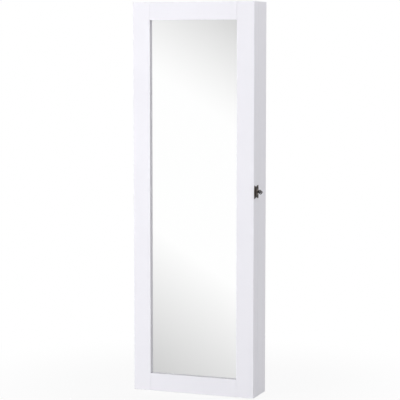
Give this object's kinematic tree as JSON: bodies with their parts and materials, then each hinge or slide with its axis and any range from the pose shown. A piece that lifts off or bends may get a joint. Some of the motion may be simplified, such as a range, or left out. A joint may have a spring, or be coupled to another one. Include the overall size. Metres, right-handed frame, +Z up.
{
  "type": "jewelry mirror cabinet",
  "caption": "Tall wall-hung jewelry cabinet whose hinged, key-locked door is a framed full-length mirror; lined inside for rings, earrings and necklaces.",
  "frame": {"origin": "on the wall plane, at mid-width, on the underside of the carcass", "axes": "+Z up, +Y into the wall, so the mirror faces -Y; +X to the right seen from the front"},
  "size_m": [0.3857, 0.103, 1.1],
  "materials": {
    "white_lacquer": "satin white lacquer on fibreboard, edges slightly rounded",
    "back_board": "thin hardboard, pale coated face",
    "charcoal_velvet": "short-pile charcoal velvet",
    "silvered_mirror": "clear silvered mirror glass, plain edges",
    "satin_nickel": "satin nickel plate",
    "zinc_steel": "bright zinc plate",
    "dark_bronze": "darkened bronze, edges rubbed a little lighter",
    "bumper_rubber": "milky soft rubber"
  },
  "bodies": {
    "cabinet": {"side_panel_left": "white_lacquer", "side_panel_right": "white_lacquer", "top_panel": "white_lacquer", "bottom_panel": "white_lacquer", "shelf_lower": "white_lacquer", "shelf_upper": "white_lacquer", "earring_shelf": "white_lacquer", "ring_shelf": "white_lacquer", "bottom_fence": "white_lacquer", "lower_fence": "white_lacquer", "upper_fence": "white_lacquer", "earring_bar_1": "white_lacquer", "earring_bar_2": "white_lacquer", "earring_bar_3": "white_lacquer", "necklace_rail": "white_lacquer", "hanging_rail_top": "white_lacquer", "hanging_rail_bottom": "white_lacquer", "back_panel": "back_board", "back_lining": "charcoal_velvet", "ring_roll_1": "charcoal_velvet", "ring_roll_2": "charcoal_velvet", "ring_roll_3": "charcoal_velvet", "ring_roll_4": "charcoal_velvet", "ring_roll_5": "charcoal_velvet", "necklace_pegs": "satin_nickel", "hinge_pins": "satin_nickel", "hinge_screws_cabinet": "satin_nickel", "hinge_cabinet_leaf_bottom": "satin_nickel", "hinge_cabinet_leaf_middle": "satin_nickel", "hinge_cabinet_leaf_top": "satin_nickel", "hanger_plates": "zinc_steel", "plate_screws": "zinc_steel", "lock_strike": "zinc_steel", "catch_magnets": "zinc_steel", "door_bumpers": "bumper_rubber"},
    "door": {"door_stile_left": "white_lacquer", "door_stile_right": "white_lacquer", "door_rail_top": "white_lacquer", "door_rail_bottom": "white_lacquer", "mirror_glass": "silvered_mirror", "mirror_backing": "back_board", "door_lining": "charcoal_velvet", "door_wall_left": "white_lacquer", "door_wall_right": "white_lacquer", "door_wall_top": "white_lacquer", "door_wall_bottom": "white_lacquer", "door_peg_rail": "white_lacquer", "door_pegs": "satin_nickel", "hinge_door_leaf_bottom": "satin_nickel", "hinge_door_leaf_middle": "satin_nickel", "hinge_door_leaf_top": "satin_nickel", "hinge_screws_door": "satin_nickel", "catch_discs": "zinc_steel", "lock_escutcheon": "dark_bronze", "lock_barrel": "dark_bronze", "lock_nut": "zinc_steel"},
    "lock_core": {"lock_plug": "dark_bronze", "lock_cam": "zinc_steel", "cam_screw": "zinc_steel"},
    "key": {"key": "dark_bronze"}
  },
  "joints": [
    {"name": "door_hinge", "type": "hinge", "parent": "cabinet", "child": "door", "pos_m": [-0.1833, -0.0685, 0.55], "axis": [0, 0, -1], "range_deg": [0, 180]},
    {"name": "lock_turn", "type": "hinge", "parent": "door", "child": "lock_core", "pos_m": [0.18, -0.086, 0.577], "axis": [-1, 0, 0], "range_deg": [0, 90]},
    {"name": "key_slide", "type": "slide", "parent": "lock_core", "child": "key", "axis": [1, 0, 0], "range_m": [0, 0.028]}
  ]
}
